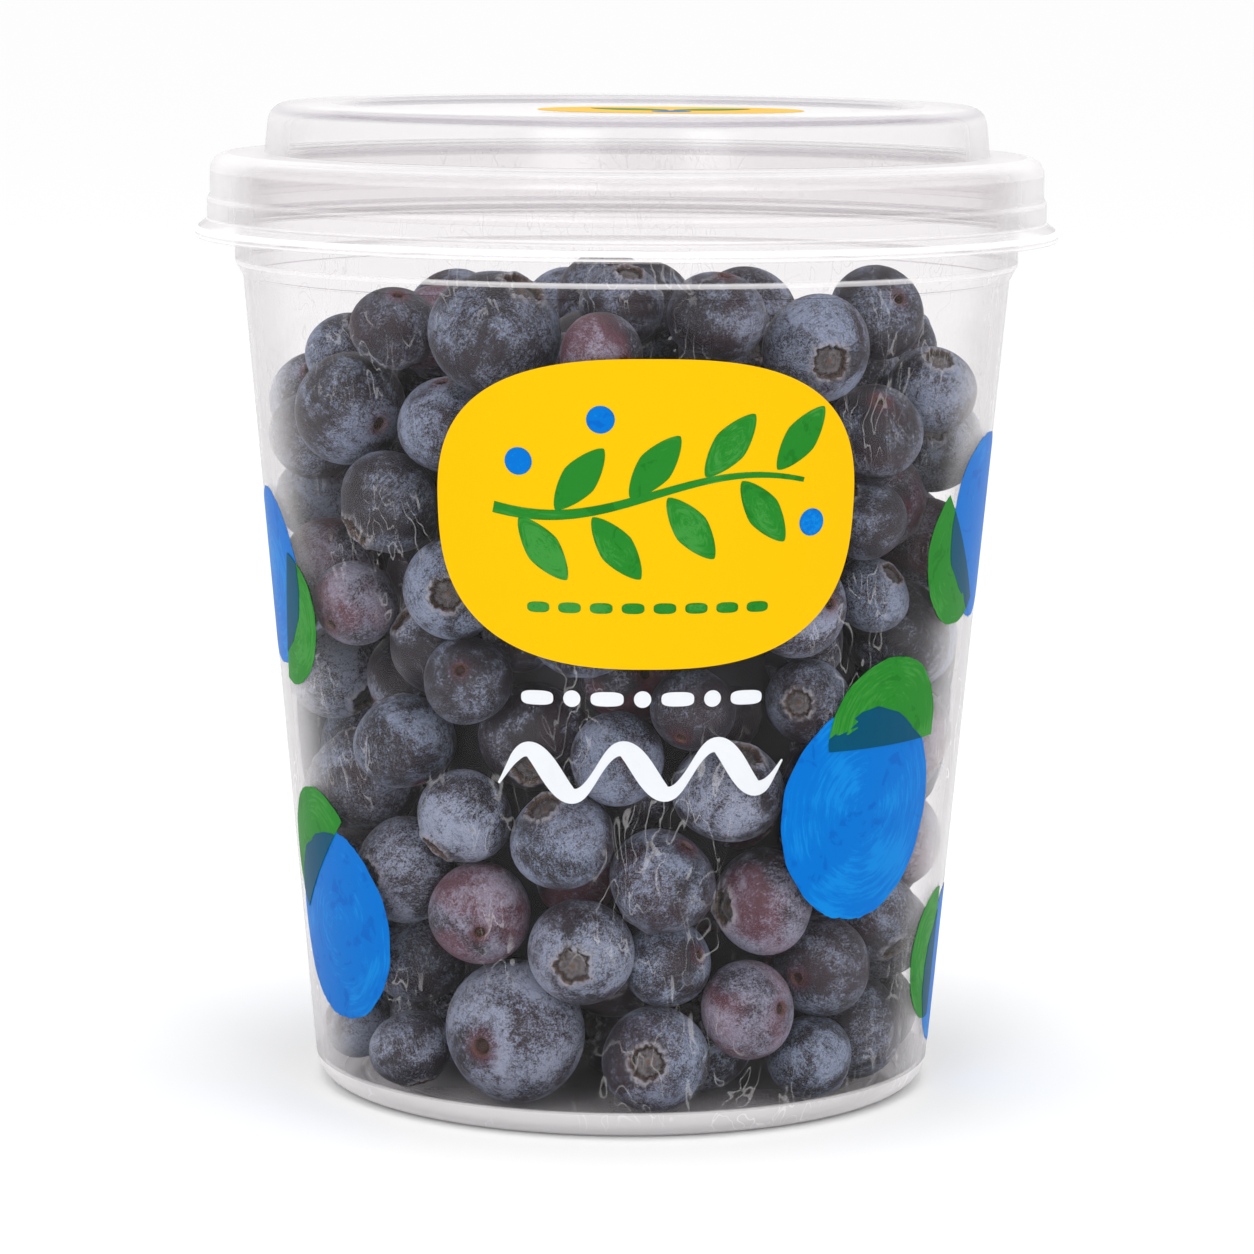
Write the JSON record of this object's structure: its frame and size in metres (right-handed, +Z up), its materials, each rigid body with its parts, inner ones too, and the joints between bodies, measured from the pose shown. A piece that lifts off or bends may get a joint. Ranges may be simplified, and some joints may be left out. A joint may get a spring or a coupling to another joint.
{
  "type": "lidded punnet of blueberries",
  "caption": "Round tapered tub of clear plastic with a stepped clear lid pressed over its rim, filled with loose blueberries.",
  "frame": {"origin": "middle of the tub's underside, on the surface that it stands on", "axes": "+Z up along the tub's axis, -Y towards the printed front"},
  "size_m": [0.118, 0.118, 0.135],
  "materials": {
    "tub_plastic": "clear formed sheet, smooth and glossy, printed on the outside",
    "lid_plastic": "clear formed sheet, smooth and glossy",
    "berry_skin": "dark blue skin under a pale dusty bloom"
  },
  "bodies": {
    "root": {"tub": "tub_plastic", "lid": "lid_plastic", "blueberry_heap": "berry_skin"}
  },
  "joints": []
}
